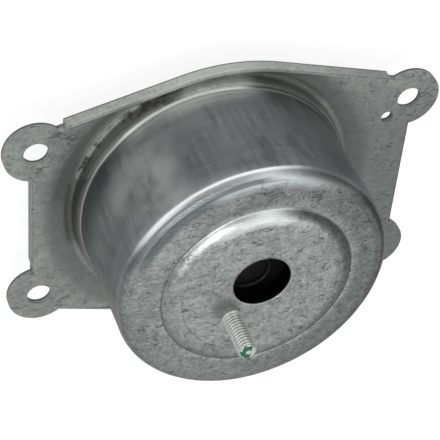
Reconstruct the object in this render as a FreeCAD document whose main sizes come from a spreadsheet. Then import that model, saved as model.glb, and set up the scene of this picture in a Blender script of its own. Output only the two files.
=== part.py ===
import FreeCAD, Part
import Sketcher
import math
import os

# Engine mount of the hydraulic kind: a drawn steel can on a pressed mounting plate, with the
# rubber spring, its core and the fluid chambers inside.
# Frame: the can's axis is Z and the closed face looks up. The core's end face lies on Z = 0 and
# the part stands on it. X runs along the plate, from the left ears to the right ones.

SIZES = {
    # Mounting plate
    "plate_front": 18.0,        # front face of the plate above the core's end face
    "plate_sheet": 2.5,         # thickness of the pressed sheet
    "plate_mid_across": 4.6,    # middle of the plate from the can's axis, along X
    "plate_mid_up": -1.65,      # and along Y
    "plate_wide": 20.3,         # half the plate's width, beyond the collar
    "plate_tall": 8.05,         # half the height between the blunt peaks, beyond the collar
    "plate_corner_drop": 19.3,  # each corner of a straight side lies this far below the peak
    "plate_peak_round": 70.0,
    "lip_drop": 4.8,            # front face to the free edge of the folded lip
    "lip_bend": 1.0,            # outer radius of the fold
    "ridge_land": 0.2,          # flat land between the fold and the slope that falls inwards
    "ridge_lean": 45.0,         # degrees that this slope leans from upright
    "gutter_floor": 2.2,        # flat floor of the gutter, beside the collar
    "dish_wide": 8.4,           # from that floor out to where the plate's flat begins
    "dish_depth": 3.6,
    "dish_round": 14.0,
    "floor_round": 2.0,
    "gutter_round": 1.1,
    "collar_gap": 0.3,          # between the can's wall and the collar
    "collar_sheet": 1.7,        # thinner than the sheet, because the collar is drawn up from it
    "collar_rise": 2.0,         # end of the collar above the plate's front face
    "collar_edge": 0.8,
    "collar_bend": 1.0,         # back of the sheet where the gutter turns up into the collar
    # Ears: how far each hole lies inside the plate's corner, along X and along Y, and how far
    # from the hole the long lip and the side lip stop
    "ear_round": 11.9,
    "ear_hole": 4.6,
    "ear_a_in": 1.7, "ear_a_down": 6.9, "ear_a_long": 10.6, "ear_a_side": 11.5,
    "ear_b_in": 2.0, "ear_b_down": 7.6, "ear_b_long": 8.9, "ear_b_side": 11.7,
    "ear_c_in": 5.4, "ear_c_down": 1.6, "ear_c_long": 9.0, "ear_c_side": 13.0,
    "ear_d_in": 2.9, "ear_d_down": 7.0, "ear_d_long": 6.8, "ear_d_side": 15.0,
    "pip_hole": 2.4,            # small locating hole beside ear b
    "pip_in": 7.8, "pip_down": 7.35,
    # Housing can
    "can_radius": 50.0,
    "can_sheet": 2.0,
    "can_rise": 49.6,           # ring of the closed face above the plate's front face
    "can_corner": 3.3,
    "corner_back": 3.0,         # inside of that corner
    "shoulder_wide": 4.4,       # last of the falling band, which bends down more steeply,
    "shoulder_fall": 1.8,       # and would fall by this much at the wall
    "shoulder_round": 12.0,
    "can_flange": 2.3,          # width of the flange that the plate seats on
    "flange_bend": 0.8,
    "rim_wide": 12.0,           # outer band of the closed face that falls towards the corner
    "rim_fall": 1.3,            # and would fall by this much at the wall
    "ring_wide": 3.2,           # flat band between the falling one and the raised disc's foot
    "disc_rise": 2.0,
    "disc_slope": 2.4,          # how far the disc's side leans in
    "disc_round": 7.0,
    "foot_round": 1.0,
    "vent_radius": 10.4,
    "vent_across": 0.8, "vent_up": 3.8,
    # Locating stud
    "stud_radius": 3.0,
    "stud_reach": 17.15,        # above the raised disc
    "stud_tip": 0.7,
    "stud_collar_radius": 3.5,
    "stud_collar": 0.8,
    "stud_head_radius": 5.0,
    "stud_head": 1.6,
    "stud_across": -9.0, "stud_up": -11.5,
    # Core, rubber spring and its ring
    "core_neck": 17.0,
    "core_neck_height": 8.0,
    "core_bulge": 24.0,
    "core_bulge_height": 16.0,
    "core_end": 11.0,
    "core_height": 32.0,
    "core_round": 3.0,
    "core_chamfer": 1.0,
    "thread_radius": 5.1,
    "thread_depth": 24.0,
    "spring_low": 7.0,          # height where the rubber's underside meets the core
    "spring_outer_low": 18.0,   # and where it meets the ring
    "spring_sag": 27.0,         # lowest height of the rubber's upper side
    "spring_round": 5.0,
    "ring_sheet": 2.0,
    "core_room": 2.0,           # between the core and the channel plate over it
    "ring_edge": 0.6,
    "slip": 0.1,                # clearance of what is pressed into the can
    # Channel plates and decoupler
    "channel_low": 4.5,         # thickness of the plate on the spring's side
    "channel_high": 5.5,        # thickness of the plate on the diaphragm's side
    "channel_in": 9.9,          # middle of the ring-shaped channel inside the can's bore
    "channel_width": 7.0,
    "channel_deep": 2.5,        # into each plate
    "channel_sweep": 320.0,     # degrees
    "port_radius": 2.6,
    "port_turn": 154.0,         # degrees from the middle of the channel to each port
    "membrane_radius": 24.0,
    "membrane_sheet": 2.6,
    "window_radius": 3.6,
    "window_ring": 14.0,
    "window_count": 6,
    # Diaphragm and the ring that holds its flange down
    "diaphragm_sheet": 1.8,
    "diaphragm_flange": 2.4,
    "diaphragm_roll": 14.0,     # top of the rolled fold above the channel plates
    "fold_play": 3.3,           # between the fold and the ring round it
    "fold_wide": 9.0,
    "dip_wide": 5.0,
    "diaphragm_drop": 4.5,      # top of the fold down to the dip inside it
    "diaphragm_dome": 14.0,
    "rib_radius": 7.7,
    "rib_width": 1.6,
    "rib_height": 1.8,
    "spacer_sheet": 1.6,
    "spacer_length": 14.0,
    "spacer_edge": 0.5,
}

os.makedirs("parts", exist_ok=True)
doc = FreeCAD.newDocument("engine_mount")
sizes = doc.addObject("Spreadsheet::Sheet", "sizes")
for row, (alias, number) in enumerate(SIZES.items(), start=1):
    sizes.set(f"A{row}", alias)
    sizes.set(f"B{row}", str(number))
    sizes.setAlias(f"B{row}", alias)
doc.recompute()

# Heights and radii that several pieces share
BACK = "(plate_front - plate_sheet)"
GUTTER = "(plate_front - dish_depth)"
FLOOR = f"({GUTTER} - plate_sheet)"
LIP_EDGE = "(plate_front - lip_drop)"
COLLAR_IN = "(can_radius + collar_gap)"
COLLAR_OUT = f"({COLLAR_IN} + collar_sheet)"
DISH_FLOOR = f"({COLLAR_OUT} + gutter_floor)"
DISH_RIM = f"({DISH_FLOOR} + dish_wide)"
HALF_WIDTH = f"({COLLAR_OUT} + plate_wide)"
PEAK_RISE = f"({COLLAR_OUT} + plate_tall)"
SIDE_RISE = f"({PEAK_RISE} - plate_corner_drop)"
RIM_START = "(can_radius - rim_wide)"
DISC_FOOT = f"({RIM_START} - ring_wide)"
OPEN_END = f"({FLOOR} - can_sheet)"
FACE_RING = "(plate_front + can_rise)"
FACE_DISC = f"({FACE_RING} + disc_rise)"
SHOULDER = f"({FACE_RING} - rim_fall * (rim_wide - shoulder_wide) / rim_wide)"
BORE = "(can_radius - can_sheet - slip)"
RING_IN = f"({BORE} - ring_sheet)"
CHANNEL_RADIUS = f"({BORE} - channel_in)"
FOLD = f"({BORE} - spacer_sheet - fold_play)"
FOLD_INNER = f"({FOLD} - fold_wide)"
FOLD_DIP = f"({FOLD_INNER} - dip_wide)"
RING_TOP = "(core_height + core_room)"
SEAM = f"({RING_TOP} + channel_low)"
CHANNEL_TOP = f"({SEAM} + channel_high)"

# Place of each ear's hole, and of the small hole beside ear b
EARS = {
    "a": (f"(plate_mid_across - {HALF_WIDTH} + ear_a_in)", f"(plate_mid_up + {SIDE_RISE} - ear_a_down)"),
    "b": (f"(plate_mid_across + {HALF_WIDTH} - ear_b_in)", f"(plate_mid_up + {SIDE_RISE} - ear_b_down)"),
    "c": (f"(plate_mid_across + {HALF_WIDTH} - ear_c_in)", f"(plate_mid_up - {SIDE_RISE} + ear_c_down)"),
    "d": (f"(plate_mid_across - {HALF_WIDTH} + ear_d_in)", f"(plate_mid_up - {SIDE_RISE} + ear_d_down)")}
PIP = (f"({EARS['b'][0]} - pip_in)", f"({EARS['b'][1]} - pip_down)")


def formula(text):
    """A formula for the sheet: each of its aliases gets the sheet's name in front."""
    done = ""
    word = ""
    for letter in text + " ":
        if letter.isalnum() or letter == "_":
            word += letter
            continue
        done += f"sizes.{word}" if word in SIZES else word
        done += letter
        word = ""
    return done.strip()


def shift(run, rise, sheet):
    """How far a bend moves when a sheet's other side is drawn a sheet's thickness away."""
    return f"({sheet}) * tan(atan(({rise}) / ({run})) / 2)"


def bind(thing, **rules):
    """Binds properties to formulas. Two underscores in a name stand for a dot."""
    for name, text in rules.items():
        thing.setExpression(name.replace("__", "."), formula(text))
    return thing


def pin(sketch, geometry, point, across, up):
    """Ties one point of a sketch to two formulas."""
    for kind, text in (("DistanceX", across), ("DistanceY", up)):
        number = sketch.addConstraint(Sketcher.Constraint(kind, -1, 1, geometry, point, 1.0))
        sketch.setExpression(f"Constraints[{number}]", formula(text))


def set_radius(sketch, geometry, text):
    """Ties the radius of an arc or a circle to a formula."""
    number = sketch.addConstraint(Sketcher.Constraint("Radius", geometry, 0.05))
    sketch.setExpression(f"Constraints[{number}]", formula(text))


def draw(sketch, corners):
    """A closed outline. Each corner has two formulas and, where it is rounded, a third."""
    count = len(corners)
    ring = []
    for turn in range(count):
        angle = -2 * math.pi * turn / count
        ring.append(FreeCAD.Vector(10 + 5 * math.cos(angle), 10 + 5 * math.sin(angle), 0))
    for turn in range(count):
        sketch.addGeometry(Part.LineSegment(ring[turn], ring[(turn + 1) % count]), False)
    for turn in range(count):
        sketch.addConstraint(Sketcher.Constraint("Coincident", turn, 2, (turn + 1) % count, 1))
    for turn, corner in enumerate(corners):
        pin(sketch, turn, 1, corner[0], corner[1])
    doc.recompute()
    for turn, corner in enumerate(corners):
        if len(corner) < 3:
            continue
        before = (turn - 1) % count
        here = sketch.getPoint(turn, 1)
        near_before = here + (sketch.getPoint(before, 1) - here) * 0.3
        near_after = here + (sketch.getPoint(turn, 2) - here) * 0.3
        sketch.fillet(before, turn, near_before, near_after, 0.05, True, True)
        arcs = [at for at, piece in enumerate(sketch.Geometry) if piece.TypeId == "Part::GeomArcOfCircle"]
        set_radius(sketch, arcs[-1], corner[2])
    doc.recompute()
    return sketch


def new_body(label):
    """A body whose label is the name of the piece."""
    body = doc.addObject("PartDesign::Body", label)
    body.Label = label
    return body


def sketch_on(body, name, role):
    """A sketch on one of the body's own planes, such as XY_Plane."""
    sketch = body.newObject("Sketcher::SketchObject", name)
    plane = [part for part in body.Origin.OriginFeatures if part.Role == role][0]
    sketch.AttachmentSupport = [(plane, "")]
    sketch.MapMode = "FlatFace"
    return sketch


def turned(body, name, corners):
    """Turns an outline of radii and heights about the body's Z axis."""
    sketch = draw(sketch_on(body, f"{name}_outline", "XZ_Plane"), corners)
    feature = body.newObject("PartDesign::Revolution", name)
    feature.Profile = sketch
    feature.ReferenceAxis = (sketch, ["V_Axis"])
    feature.Angle = 360
    doc.recompute()
    return body


def really_cuts(body, name, volume):
    """Stops the build if a cutting feature has taken nothing off."""
    doc.recompute()
    if body.Shape.Volume > volume - 1.0:
        raise RuntimeError(f"{name} cuts nothing")
    return body


def turned_groove(body, name, corners, sweep):
    """Cuts an outline out along an arc about Z. The arc's middle lies on the X axis."""
    volume = body.Shape.Volume
    sketch = draw(sketch_on(body, f"{name}_outline", "XZ_Plane"), corners)
    feature = body.newObject("PartDesign::Groove", name)
    feature.Profile = sketch
    feature.ReferenceAxis = (sketch, ["V_Axis"])
    feature.Midplane = True
    bind(feature, Angle=sweep)
    return really_cuts(body, name, volume)


def round_holes(body, name, circles, low=None, high=None):
    """Cuts round holes, each with formulas for its place and radius. They go through the whole
    body, or run from the height low to the height high."""
    volume = body.Shape.Volume
    sketch = sketch_on(body, f"{name}_circles", "XY_Plane")
    for number, (across, up, radius) in enumerate(circles):
        centre = FreeCAD.Vector(3.0 * number + 2.0, 2.0, 0)
        sketch.addGeometry(Part.Circle(centre, FreeCAD.Vector(0, 0, 1), 1.0), False)
        pin(sketch, number, 3, across, up)
        set_radius(sketch, number, radius)
    feature = body.newObject("PartDesign::Pocket", name)
    feature.Profile = sketch
    feature.Reversed = True
    if high is None:
        feature.Type = 1
    else:
        bind(feature, Length=f"{high} - ({low})")
        bind(sketch, AttachmentOffset__Base__z=low)
    return really_cuts(body, name, volume)


def spun(name, corners):
    """A full turn of an outline of radii and heights about Z, for use in the plate."""
    sketch = draw(doc.addObject("Sketcher::SketchObject", f"{name}_outline"), corners)
    upright = FreeCAD.Rotation(FreeCAD.Vector(1, 0, 0), 90)
    sketch.Placement = FreeCAD.Placement(FreeCAD.Vector(0, 0, 0), upright)
    solid = doc.addObject("Part::Revolution", name)
    solid.Source = sketch
    solid.Axis = FreeCAD.Vector(0, 0, 1)
    solid.Base = FreeCAD.Vector(0, 0, 0)
    solid.Angle = 360
    solid.Solid = True
    return solid


def prism(name, corners, low, high, lean=None):
    """An upright solid on a closed outline. Its sides may lean outwards by a formula."""
    solid = doc.addObject("Part::Extrusion", name)
    solid.Base = draw(doc.addObject("Sketcher::SketchObject", f"{name}_outline"), corners)
    solid.DirMode = "Normal"
    solid.Solid = True
    bind(solid, LengthFwd=f"{high} - ({low})", Placement__Base__z=low)
    if lean is not None:
        bind(solid, TaperAngle=lean)
    return solid


def block(name, west, east, south, north, low, high):
    """A box between formulas for its sides."""
    solid = doc.addObject("Part::Box", name)
    bind(solid, Length=f"{east} - ({west})", Placement__Base__x=west)
    bind(solid, Width=f"{north} - ({south})", Placement__Base__y=south)
    return bind(solid, Height=f"{high} - ({low})", Placement__Base__z=low)


def rod(name, across, up, radius, low, high):
    """An upright cylinder."""
    solid = doc.addObject("Part::Cylinder", name)
    bind(solid, Placement__Base__x=across, Placement__Base__y=up, Radius=radius)
    return bind(solid, Height=f"{high} - ({low})", Placement__Base__z=low)


def combine(kind, name, *pieces):
    """Part::Cut of two pieces, or Part::MultiFuse or Part::MultiCommon of several."""
    result = doc.addObject(kind, name)
    if kind == "Part::Cut":
        result.Base, result.Tool = pieces
    else:
        result.Shapes = list(pieces)
    doc.recompute()
    return result


def housing_can():
    """Deep-drawn can: a flange at the open end, the wall, a rounded corner, a ring that falls
    towards it, and a raised disc with the vent hole and the stud's hole."""
    fall = "(rim_fall / rim_wide)"
    disc_shift = shift("disc_slope", "disc_rise", "can_sheet")
    rim_shift = shift("rim_wide", "rim_fall", "can_sheet")
    inner_ring = f"({FACE_RING} - can_sheet)"
    inner_corner = (f"{FACE_RING} - (rim_wide - can_sheet) * {fall}"
                    f" - can_sheet * sqrt(1 + {fall} * {fall})")
    body = turned(new_body("housing_can"), "can_wall", [
        ("0", FACE_DISC),
        (f"{DISC_FOOT} - disc_slope", FACE_DISC, "disc_round"),
        (DISC_FOOT, FACE_RING, "foot_round"),
        (RIM_START, FACE_RING),
        ("can_radius - shoulder_wide", SHOULDER, "shoulder_round"),
        ("can_radius", f"{SHOULDER} - shoulder_fall", "can_corner"),
        ("can_radius", FLOOR, "flange_bend"),
        ("can_radius + can_flange", FLOOR),
        ("can_radius + can_flange", OPEN_END),
        ("can_radius - can_sheet", OPEN_END, "flange_bend + can_sheet"),
        ("can_radius - can_sheet", inner_corner, "corner_back"),
        (f"{RIM_START} - {rim_shift}", inner_ring),
        (f"{DISC_FOOT} - {disc_shift}", inner_ring, "foot_round + can_sheet"),
        (f"{DISC_FOOT} - disc_slope - {disc_shift}", f"{FACE_DISC} - can_sheet", "disc_round - can_sheet"),
        ("0", f"{FACE_DISC} - can_sheet")])
    return round_holes(body, "can_holes", [
        ("vent_across", "vent_up", "vent_radius"),
        ("stud_across", "stud_up", "stud_radius + slip / 2")])


def plate_outline(inset):
    """Corners of the plate's six-sided outline, moved in by a formula."""
    lean = f"(plate_corner_drop / {HALF_WIDTH})"
    reach = f"({HALF_WIDTH} - ({inset}))"
    peak = f"({PEAK_RISE} - ({inset}) * sqrt(1 + {lean} * {lean}))"
    side = f"({peak} - {reach} * {lean})"
    blunt = f"plate_peak_round - ({inset})"
    return [(f"plate_mid_across - {reach}", f"plate_mid_up + {side}"),
            ("plate_mid_across", f"plate_mid_up + {peak}", blunt),
            (f"plate_mid_across + {reach}", f"plate_mid_up + {side}"),
            (f"plate_mid_across + {reach}", f"plate_mid_up - {side}"),
            ("plate_mid_across", f"plate_mid_up - {peak}", blunt),
            (f"plate_mid_across - {reach}", f"plate_mid_up - {side}")]


def lip_gap(ear, left, upper):
    """What is missing of the lips at one ear, between the ends of the long and the side lip."""
    long_stop = f"{EARS[ear][0]} {'+' if left else '-'} ear_{ear}_long"
    side_stop = f"{EARS[ear][1]} {'-' if upper else '+'} ear_{ear}_side"
    west = f"plate_mid_across - {HALF_WIDTH} - lip_drop" if left else long_stop
    east = long_stop if left else f"plate_mid_across + {HALF_WIDTH} + lip_drop"
    south = side_stop if upper else f"plate_mid_up - {PEAK_RISE}"
    north = f"plate_mid_up + {PEAK_RISE}" if upper else side_stop
    return block(f"lip_gap_{ear}", west, east, south, north, f"{LIP_EDGE} - lip_drop", BACK)


def mounting_plate():
    """Pressed plate: a six-sided outline with folded lips, four round ears, and a dish that
    falls to a gutter and turns up into a collar round the can."""
    blank = prism("plate_blank", plate_outline("0"), LIP_EDGE, "plate_front")
    doc.recompute()
    bend = float(sizes.lip_bend)
    top = blank.Shape.BoundBox.ZMax
    folded = doc.addObject("Part::Fillet", "plate_folded")
    folded.Base = blank
    folded.Edges = [(number, bend, bend) for number, edge in enumerate(blank.Shape.Edges, start=1)
                    if edge.BoundBox.ZMin > top - 1e-6]
    room = prism("plate_room", plate_outline("plate_sheet"), f"{LIP_EDGE} - lip_drop", BACK)
    well = rod("plate_well", "0", "0", COLLAR_OUT, LIP_EDGE, "plate_front + collar_rise")
    corners = [lip_gap("a", True, True), lip_gap("b", False, True),
               lip_gap("c", False, False), lip_gap("d", True, False)]
    hollow = combine("Part::MultiFuse", "plate_hollow", room, well, *corners)
    tray = combine("Part::Cut", "plate_tray", folded, hollow)

    # The dish is added in full below the sheet, and then pressed down in front
    lean = shift("dish_wide", "dish_depth", "plate_sheet")
    belt = spun("dish_belt", [
        (COLLAR_IN, FLOOR, "collar_bend"),
        (f"{DISH_FLOOR} + {lean}", FLOOR, "floor_round + plate_sheet"),
        (f"{DISH_RIM} + {lean}", BACK),
        (f"{DISH_RIM} + {lean}", "plate_front"),
        (COLLAR_IN, "plate_front")])
    inside = prism("dish_limit", plate_outline("plate_sheet"), f"{FLOOR} - plate_sheet", "plate_front")
    dish = combine("Part::MultiCommon", "dish_back", belt, inside)
    collar = spun("plate_collar", [
        (COLLAR_IN, BACK),
        (COLLAR_OUT, BACK),
        (COLLAR_OUT, "plate_front + collar_rise", "collar_edge"),
        (COLLAR_IN, "plate_front + collar_rise", "collar_edge")])
    ears = [rod(f"ear_{ear}", *place, "ear_round", BACK, "plate_front") for ear, place in EARS.items()]
    whole = combine("Part::MultiFuse", "plate_whole", tray, dish, collar, *ears)

    press = spun("dish_front", [
        (COLLAR_OUT, GUTTER, "gutter_round"),
        (DISH_FLOOR, GUTTER, "floor_round"),
        (DISH_RIM, "plate_front", "dish_round"),
        (f"{DISH_RIM} + dish_round", "plate_front"),
        (f"{DISH_RIM} + dish_round", "plate_front + lip_drop"),
        (COLLAR_OUT, "plate_front + lip_drop")])
    slope_low = f"({GUTTER} - lip_bend)"
    slope_inset = f"lip_bend + ridge_land + (plate_front - {slope_low}) * tan(ridge_lean * 1deg)"
    slope_edge = plate_outline(slope_inset)
    slope = prism("ridge_slope", slope_edge, slope_low, "plate_front + lip_bend", "ridge_lean")
    pressed = combine("Part::MultiCommon", "dish_pressed", press, slope)
    above = "plate_front + collar_rise"
    holes = [rod(f"ear_hole_{ear}", *place, "ear_hole", FLOOR, above) for ear, place in EARS.items()]
    pip = rod("pip", *PIP, "pip_hole", FLOOR, above)
    taken = combine("Part::MultiFuse", "plate_taken", pressed, pip, *holes)
    plate = combine("Part::Cut", "mounting_plate", whole, taken)
    really_cuts(plate, "plate_taken", whole.Shape.Volume)
    return plate


def locating_stud():
    """Stud through the raised disc, with a head under the sheet and a small collar on it."""
    under = f"({FACE_DISC} - can_sheet)"
    tip = f"({FACE_DISC} + stud_reach)"
    body = turned(new_body("locating_stud"), "stud_shank", [
        ("0", f"{under} - stud_head"),
        ("stud_head_radius", f"{under} - stud_head", "stud_head / 3"),
        ("stud_head_radius", under),
        ("stud_radius", under),
        ("stud_radius", FACE_DISC),
        ("stud_collar_radius", FACE_DISC),
        ("stud_collar_radius", f"{FACE_DISC} + stud_collar"),
        ("stud_radius", f"{FACE_DISC} + stud_collar"),
        ("stud_radius", f"{tip} - stud_tip"),
        ("stud_radius - stud_tip", tip),
        ("0", tip)])
    return bind(body, Placement__Base__x="stud_across", Placement__Base__y="stud_up")


def inner_core():
    """Cast core that the engine's bracket bolts to, with a blind threaded hole in its end."""
    body = turned(new_body("inner_core"), "core_casting", [
        ("0", "0"),
        ("core_neck - core_chamfer", "0"),
        ("core_neck", "core_chamfer"),
        ("core_neck", "core_neck_height", "core_round"),
        ("core_bulge", "core_bulge_height", "core_round"),
        ("core_end", "core_height", "core_round"),
        ("0", "core_height")])
    return round_holes(body, "core_thread", [("0", "0", "thread_radius")], "0", "thread_depth")


def spring_outer_ring():
    """Plain ring that the rubber is bonded to and that is pressed into the can."""
    return turned(new_body("spring_outer_ring"), "ring_tube", [
        (RING_IN, OPEN_END, "ring_edge"),
        (BORE, OPEN_END, "ring_edge"),
        (BORE, RING_TOP, "ring_edge"),
        (RING_IN, RING_TOP, "ring_edge")])


def rubber_spring(core):
    """Conical rubber spring, bonded to the core and to the ring."""
    cone = spun("spring_cone", [
        ("(thread_radius + core_end) / 2", "spring_low"),
        ("core_neck", "spring_low"),
        (RING_IN, "spring_outer_low"),
        (RING_IN, f"{RING_TOP} - ring_edge"),
        (f"({RING_IN} + core_bulge) / 2", "spring_sag", "spring_round"),
        ("core_bulge", "spring_sag", "spring_round"),
        ("core_end", "core_height - core_round"),
        ("(thread_radius + core_end) / 2", "core_height - core_round")])
    return combine("Part::Cut", "rubber_spring", cone, core)


def window_places():
    """One window in the middle of a channel plate and a ring of them round it."""
    places = [("0", "0", "window_radius")]
    for turn in range(int(sizes.window_count)):
        angle = f"{turn} * 360deg / window_count"
        places.append((f"window_ring * cos({angle})", f"window_ring * sin({angle})", "window_radius"))
    return places


def channel_plate(name, low, high, seam_low, seam_high, side):
    """Cast plate with half of the ring-shaped channel in the face at the seam, half of the
    membrane's seat, the windows over the membrane, and a port at one end of the channel."""
    body = turned(new_body(name), f"{name}_disc", [
        ("0", low),
        (BORE, low),
        (BORE, high),
        ("0", high)])
    turned_groove(body, f"{name}_channel", [
        (f"{CHANNEL_RADIUS} - channel_width / 2", seam_low),
        (f"{CHANNEL_RADIUS} + channel_width / 2", seam_low),
        (f"{CHANNEL_RADIUS} + channel_width / 2", seam_high),
        (f"{CHANNEL_RADIUS} - channel_width / 2", seam_high)], "channel_sweep")
    seat_low = f"{SEAM} - membrane_sheet / 2" if seam_high == SEAM else SEAM
    seat_high = SEAM if seam_high == SEAM else f"{SEAM} + membrane_sheet / 2"
    round_holes(body, f"{name}_seat", [("0", "0", "membrane_radius + slip")], seat_low, seat_high)
    port_across = f"{CHANNEL_RADIUS} * cos(port_turn * 1deg)"
    port_up = f"{side} * {CHANNEL_RADIUS} * sin(port_turn * 1deg)"
    circles = window_places() + [(port_across, port_up, "port_radius")]
    return round_holes(body, f"{name}_openings", circles)


def decoupler_membrane():
    """Rubber disc held between the channel plates."""
    return turned(new_body("decoupler_membrane"), "membrane_disc", [
        ("0", f"{SEAM} - membrane_sheet / 2"),
        ("membrane_radius", f"{SEAM} - membrane_sheet / 2"),
        ("membrane_radius", f"{SEAM} + membrane_sheet / 2"),
        ("0", f"{SEAM} + membrane_sheet / 2")])


def diaphragm():
    """Thin rubber diaphragm: a clamped flange, a rolled fold and a dome with a ring rib."""
    fold_top = f"({CHANNEL_TOP} + diaphragm_roll)"
    dip = f"({fold_top} - diaphragm_drop)"
    flange = f"({CHANNEL_TOP} + diaphragm_flange)"
    rib_top = f"({fold_top} + rib_height)"
    return turned(new_body("diaphragm"), "diaphragm_skin", [
        ("0", fold_top),
        ("rib_radius - rib_width / 2", fold_top),
        ("rib_radius - rib_width / 2", rib_top, "rib_width / 3"),
        ("rib_radius + rib_width / 2", rib_top, "rib_width / 3"),
        ("rib_radius + rib_width / 2", fold_top),
        ("diaphragm_dome", fold_top, "diaphragm_sheet"),
        (FOLD_DIP, dip, "diaphragm_sheet"),
        (FOLD_INNER, fold_top, "diaphragm_sheet * 2"),
        (FOLD, fold_top, "diaphragm_sheet * 2"),
        (FOLD, flange),
        (BORE, flange),
        (BORE, CHANNEL_TOP),
        (f"{FOLD} - diaphragm_sheet", CHANNEL_TOP),
        (f"{FOLD} - diaphragm_sheet", f"{fold_top} - diaphragm_sheet", "diaphragm_sheet"),
        (FOLD_INNER, f"{fold_top} - diaphragm_sheet", "diaphragm_sheet"),
        (FOLD_DIP, f"{dip} - diaphragm_sheet", "diaphragm_sheet * 2"),
        ("diaphragm_dome", f"{fold_top} - diaphragm_sheet", "diaphragm_sheet"),
        ("0", f"{fold_top} - diaphragm_sheet")])


def diaphragm_ring():
    """Sleeve pressed into the can that holds the diaphragm's flange on the channel plates."""
    low = f"({CHANNEL_TOP} + diaphragm_flange)"
    return turned(new_body("diaphragm_ring"), "spacer_tube", [
        (f"{BORE} - spacer_sheet", low),
        (BORE, low),
        (BORE, f"{low} + spacer_length", "spacer_edge"),
        (f"{BORE} - spacer_sheet", f"{low} + spacer_length", "spacer_edge")])


core = inner_core()
low_plate = ("channel_plate_spring_side", RING_TOP, SEAM, f"{SEAM} - channel_deep", SEAM, "1")
high_plate = ("channel_plate_diaphragm_side", SEAM, CHANNEL_TOP, SEAM, f"{SEAM} + channel_deep", "-1")
pieces = [
    housing_can(),
    mounting_plate(),
    locating_stud(),
    core,
    rubber_spring(core),
    spring_outer_ring(),
    channel_plate(*low_plate),
    channel_plate(*high_plate),
    decoupler_membrane(),
    diaphragm(),
    diaphragm_ring()]
doc.recompute()

for thing in doc.Objects:
    if "Invalid" in thing.State or "Error" in thing.State:
        raise RuntimeError(f"{thing.Name} failed: {thing.State}")
for piece in pieces:
    if piece.Shape.isNull() or not piece.Shape.isValid() or len(piece.Shape.Solids) != 1:
        raise RuntimeError(f"{piece.Label} is no valid single solid")
for piece in pieces:
    piece.Shape.exportStep(f"parts/{piece.Label}.step")
    print(piece.Label, round(piece.Shape.Volume / 1000, 2), "cm3")
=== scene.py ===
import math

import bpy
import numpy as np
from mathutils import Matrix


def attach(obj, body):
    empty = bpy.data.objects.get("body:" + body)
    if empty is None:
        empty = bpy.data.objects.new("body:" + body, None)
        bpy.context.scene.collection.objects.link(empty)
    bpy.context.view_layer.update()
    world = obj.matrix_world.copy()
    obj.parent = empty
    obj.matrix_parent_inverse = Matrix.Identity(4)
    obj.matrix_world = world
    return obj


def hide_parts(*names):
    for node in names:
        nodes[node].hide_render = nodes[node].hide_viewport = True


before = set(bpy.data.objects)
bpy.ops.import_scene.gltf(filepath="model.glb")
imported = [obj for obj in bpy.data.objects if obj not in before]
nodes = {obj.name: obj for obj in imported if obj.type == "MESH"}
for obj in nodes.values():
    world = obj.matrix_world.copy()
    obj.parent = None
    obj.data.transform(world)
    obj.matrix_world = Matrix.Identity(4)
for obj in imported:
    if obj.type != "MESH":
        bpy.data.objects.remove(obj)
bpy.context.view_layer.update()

# %% [markdown]
# # A hydraulic engine mount
# A deep-drawn steel can, closed on top, stands on a pressed mounting plate with four ears. Both are
# galvanised. A short threaded stud locates the mount. Rubber, fluid plates and a cast core are inside.
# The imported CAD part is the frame, in metres. The can and the stud are made again here, because their
# drawn waviness and their thread are finer than the CAD holds, and the rest gets its finish.

MM = 0.001
print("CAD nodes:", ", ".join(sorted(nodes)))

# %% [markdown]
# ## Camera
# The photograph was taken from 0.61 m, from the side of the plate's upper peak and 44 degrees above it,
# with the camera turned almost upside down: so the plate is at the top of the picture while the part
# stands on its core. A pinhole camera was fitted to the outlines seen in the photograph.

# %% Camera
eye = bpy.data.cameras.new("camera")
eye.lens = 133.637
eye.sensor_width = 36.0
camera = bpy.data.objects.new("camera", eye)
camera.location = (-0.17380, 0.39188, 0.43965)
camera.rotation_euler = (math.radians(-43.17149), math.radians(-18.98300), math.radians(4.62911))
bpy.context.scene.collection.objects.link(camera)
bpy.context.scene.camera = camera
print("camera at", tuple(round(c, 3) for c in camera.location))

# %% [markdown]
# ## Nodes in few words
# Materials are trees of small nodes. One helper adds a node and joins its inputs, so each finish
# below reads as a list of its steps.


# %% Helper that adds one shader node
def add(tree, kind, *inputs, out=0, **settings):
    """Adds a node of a kind, sets its properties, and feeds its inputs in order or by name.
    A socket is linked, anything else is set as the socket's value, and None is left alone."""
    made = tree.nodes.new("ShaderNode" + kind)
    named = {}
    for key, value in settings.items():
        if hasattr(made, key):
            setattr(made, key, value)
        else:
            named[key.replace("_", " ")] = value
    for key, value in list(enumerate(inputs)) + list(named.items()):
        if value is None:
            continue
        if isinstance(value, bpy.types.NodeSocket):
            tree.links.new(value, made.inputs[key])
        else:
            made.inputs[key].default_value = value
    return made.outputs[out]


# %% Helpers for numbers and masks
def maths(tree, operation, *values):
    """One Math node: its operation on one or two sockets or numbers."""
    return add(tree, "Math", *values, operation=operation)


def times(tree, *values):
    """The product of two or more masks or numbers. Of masks, it is where all of them hold."""
    made = values[0]
    for value in values[1:]:
        made = maths(tree, "MULTIPLY", made, value)
    return made


def most(tree, first, second):
    """The larger of two values. Of masks, it is where either holds."""
    return maths(tree, "MAXIMUM", first, second)


def off(tree, mask):
    """One minus a mask: where it doesn't hold."""
    return maths(tree, "SUBTRACT", 1.0, mask)


def step(tree, value, low, high):
    """A smooth step: 0 below low, 1 above high, and the other way round where low is over high."""
    return add(tree, "MapRange", value, low, high, 0.0, 1.0, interpolation_type="SMOOTHSTEP")


# %% Helpers for mixes and colours
def amount(tree, factor, low, high):
    """A number that goes from low to high as the factor goes from 0 to 1."""
    return add(tree, "Mix", factor, None, low, high, data_type="FLOAT")


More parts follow.
